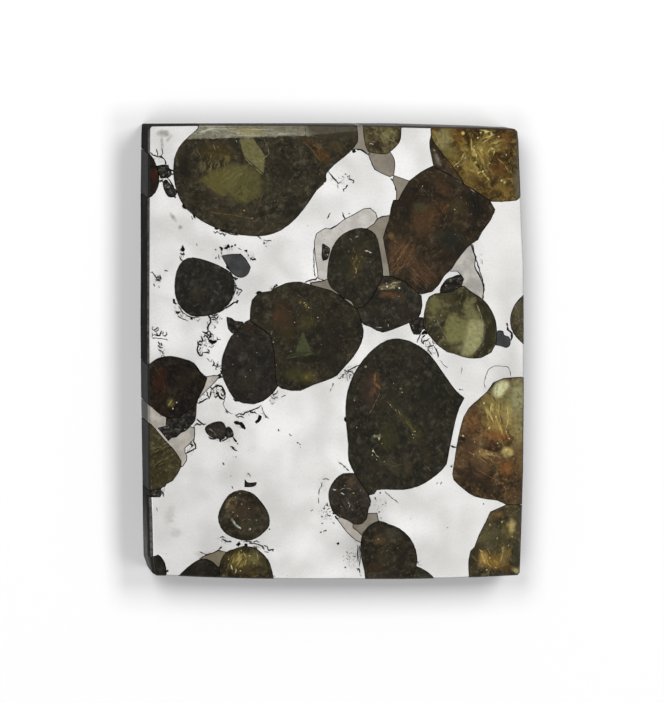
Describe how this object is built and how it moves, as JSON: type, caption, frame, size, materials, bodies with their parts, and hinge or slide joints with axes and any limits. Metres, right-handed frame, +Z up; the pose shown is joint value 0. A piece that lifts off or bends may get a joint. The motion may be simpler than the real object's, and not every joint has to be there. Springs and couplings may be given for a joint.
{
  "type": "pallasite meteorite slice",
  "caption": "Flat cut and polished slice of a stony-iron meteorite: dark and golden olivine crystals set through a nickel-iron plate, lying on its back face.",
  "frame": {"origin": "centre of the slab's back face, where it rests on a surface", "axes": "+Z up out of the polished face (the thickness), +Y along the slab's long side, +X to the right across the polished face"},
  "size_m": [0.0504, 0.0604, 0.006],
  "materials": {
    "nickel_iron_plate": "Ground and polished nickel-iron, pale grey-white satin shine with faint scratches and short black cracks",
    "nickel_iron_top_island": "Ground and polished nickel-iron, pale grey-white satin shine with faint scratches and short black cracks",
    "olivine_bead": "Polished olivine crystal, glassy and see-through, brown-black to golden olive inside, with fractures",
    "olivine_big_lower": "Polished olivine crystal, glassy and see-through, brown-black to golden olive inside, with fractures",
    "olivine_big_top_left": "Polished olivine crystal, glassy and see-through, brown-black to golden olive inside, with fractures",
    "olivine_bottom_chip": "Polished olivine crystal, glassy and see-through, brown-black to golden olive inside, with fractures",
    "olivine_bottom_middle": "Polished olivine crystal, glassy and see-through, brown-black to golden olive inside, with fractures",
    "olivine_corner": "Polished olivine crystal, glassy and see-through, brown-black to golden olive inside, with fractures",
    "olivine_dark_bottom_left": "Polished olivine crystal, glassy and see-through, brown-black to golden olive inside, with fractures",
    "olivine_gold_bottom_left": "Polished olivine crystal, glassy and see-through, brown-black to golden olive inside, with fractures",
    "olivine_gold_bottom_right": "Polished olivine crystal, glassy and see-through, brown-black to golden olive inside, with fractures",
    "olivine_gold_right": "Polished olivine crystal, glassy and see-through, brown-black to golden olive inside, with fractures",
    "olivine_gold_top_right": "Polished olivine crystal, glassy and see-through, brown-black to golden olive inside, with fractures",
    "olivine_green": "Polished olivine crystal, glassy and see-through, brown-black to golden olive inside, with fractures",
    "olivine_left_rim": "Polished olivine crystal, glassy and see-through, brown-black to golden olive inside, with fractures",
    "olivine_middle_lower": "Polished olivine crystal, glassy and see-through, brown-black to golden olive inside, with fractures",
    "olivine_oval_middle": "Polished olivine crystal, glassy and see-through, brown-black to golden olive inside, with fractures",
    "olivine_pair_left": "Polished olivine crystal, glassy and see-through, brown-black to golden olive inside, with fractures",
    "olivine_pair_right": "Polished olivine crystal, glassy and see-through, brown-black to golden olive inside, with fractures",
    "olivine_red_brown": "Polished olivine crystal, glassy and see-through, brown-black to golden olive inside, with fractures",
    "olivine_right_rim": "Polished olivine crystal, glassy and see-through, brown-black to golden olive inside, with fractures",
    "olivine_round_left": "Polished olivine crystal, glassy and see-through, brown-black to golden olive inside, with fractures",
    "olivine_round_left_rim": "Polished olivine crystal, glassy and see-through, brown-black to golden olive inside, with fractures",
    "olivine_sliver_top": "Polished olivine crystal, glassy and see-through, brown-black to golden olive inside, with fractures",
    "olivine_small_left": "Polished olivine crystal, glassy and see-through, brown-black to golden olive inside, with fractures",
    "olivine_small_lower": "Polished olivine crystal, glassy and see-through, brown-black to golden olive inside, with fractures",
    "olivine_top_middle": "Polished olivine crystal, glassy and see-through, brown-black to golden olive inside, with fractures",
    "olivine_wedge_left": "Polished olivine crystal, glassy and see-through, brown-black to golden olive inside, with fractures",
    "oxide_above_green": "Crumbly black iron oxide in a shallow pit",
    "oxide_bar": "Crumbly black iron oxide in a shallow pit",
    "oxide_chip_middle_left": "Crumbly black iron oxide in a shallow pit",
    "oxide_chip_top_left": "Crumbly black iron oxide in a shallow pit",
    "oxide_drop_top_left": "Crumbly black iron oxide in a shallow pit",
    "oxide_middle_right": "Crumbly black iron oxide in a shallow pit",
    "oxide_patch_in_arch": "Crumbly black iron oxide in a shallow pit",
    "oxide_pit_left_rim": "Crumbly black iron oxide in a shallow pit",
    "oxide_porous_left": "Crumbly black iron oxide in a shallow pit",
    "oxide_small_left": "Crumbly black iron oxide in a shallow pit",
    "schreibersite_arch": "Schreibersite, satin taupe-grey iron-nickel phosphide with fine cracks",
    "schreibersite_bottom_left": "Schreibersite, satin taupe-grey iron-nickel phosphide with fine cracks",
    "schreibersite_left": "Schreibersite, satin taupe-grey iron-nickel phosphide with fine cracks",
    "schreibersite_left_sliver": "Schreibersite, satin taupe-grey iron-nickel phosphide with fine cracks",
    "schreibersite_long_strip": "Schreibersite, satin taupe-grey iron-nickel phosphide with fine cracks",
    "schreibersite_lower": "Schreibersite, satin taupe-grey iron-nickel phosphide with fine cracks",
    "schreibersite_lower_pale": "Schreibersite, satin taupe-grey iron-nickel phosphide with fine cracks",
    "schreibersite_right": "Schreibersite, satin taupe-grey iron-nickel phosphide with fine cracks",
    "schreibersite_sliver": "Schreibersite, satin taupe-grey iron-nickel phosphide with fine cracks",
    "schreibersite_sliver_end": "Schreibersite, satin taupe-grey iron-nickel phosphide with fine cracks",
    "schreibersite_top_patch": "Schreibersite, satin taupe-grey iron-nickel phosphide with fine cracks",
    "schreibersite_top_strip": "Schreibersite, satin taupe-grey iron-nickel phosphide with fine cracks",
    "schreibersite_triangle": "Schreibersite, satin taupe-grey iron-nickel phosphide with fine cracks",
    "troilite_beside_green": "Troilite, a dull slate-grey iron sulphide",
    "troilite_grain": "Troilite, a dull slate-grey iron sulphide"
  },
  "bodies": {
    "root": {"nickel_iron_plate": "nickel_iron_plate", "nickel_iron_top_island": "nickel_iron_top_island", "olivine_bead": "olivine_bead", "olivine_big_lower": "olivine_big_lower", "olivine_big_top_left": "olivine_big_top_left", "olivine_bottom_chip": "olivine_bottom_chip", "olivine_bottom_middle": "olivine_bottom_middle", "olivine_corner": "olivine_corner", "olivine_dark_bottom_left": "olivine_dark_bottom_left", "olivine_gold_bottom_left": "olivine_gold_bottom_left", "olivine_gold_bottom_right": "olivine_gold_bottom_right", "olivine_gold_right": "olivine_gold_right", "olivine_gold_top_right": "olivine_gold_top_right", "olivine_green": "olivine_green", "olivine_left_rim": "olivine_left_rim", "olivine_middle_lower": "olivine_middle_lower", "olivine_oval_middle": "olivine_oval_middle", "olivine_pair_left": "olivine_pair_left", "olivine_pair_right": "olivine_pair_right", "olivine_red_brown": "olivine_red_brown", "olivine_right_rim": "olivine_right_rim", "olivine_round_left": "olivine_round_left", "olivine_round_left_rim": "olivine_round_left_rim", "olivine_sliver_top": "olivine_sliver_top", "olivine_small_left": "olivine_small_left", "olivine_small_lower": "olivine_small_lower", "olivine_top_middle": "olivine_top_middle", "olivine_wedge_left": "olivine_wedge_left", "oxide_above_green": "oxide_above_green", "oxide_bar": "oxide_bar", "oxide_chip_middle_left": "oxide_chip_middle_left", "oxide_chip_top_left": "oxide_chip_top_left", "oxide_drop_top_left": "oxide_drop_top_left", "oxide_middle_right": "oxide_middle_right", "oxide_patch_in_arch": "oxide_patch_in_arch", "oxide_pit_left_rim": "oxide_pit_left_rim", "oxide_porous_left": "oxide_porous_left", "oxide_small_left": "oxide_small_left", "schreibersite_arch": "schreibersite_arch", "schreibersite_bottom_left": "schreibersite_bottom_left", "schreibersite_left": "schreibersite_left", "schreibersite_left_sliver": "schreibersite_left_sliver", "schreibersite_long_strip": "schreibersite_long_strip", "schreibersite_lower": "schreibersite_lower", "schreibersite_lower_pale": "schreibersite_lower_pale", "schreibersite_right": "schreibersite_right", "schreibersite_sliver": "schreibersite_sliver", "schreibersite_sliver_end": "schreibersite_sliver_end", "schreibersite_top_patch": "schreibersite_top_patch", "schreibersite_top_strip": "schreibersite_top_strip", "schreibersite_triangle": "schreibersite_triangle", "troilite_beside_green": "troilite_beside_green", "troilite_grain": "troilite_grain"}
  },
  "joints": []
}
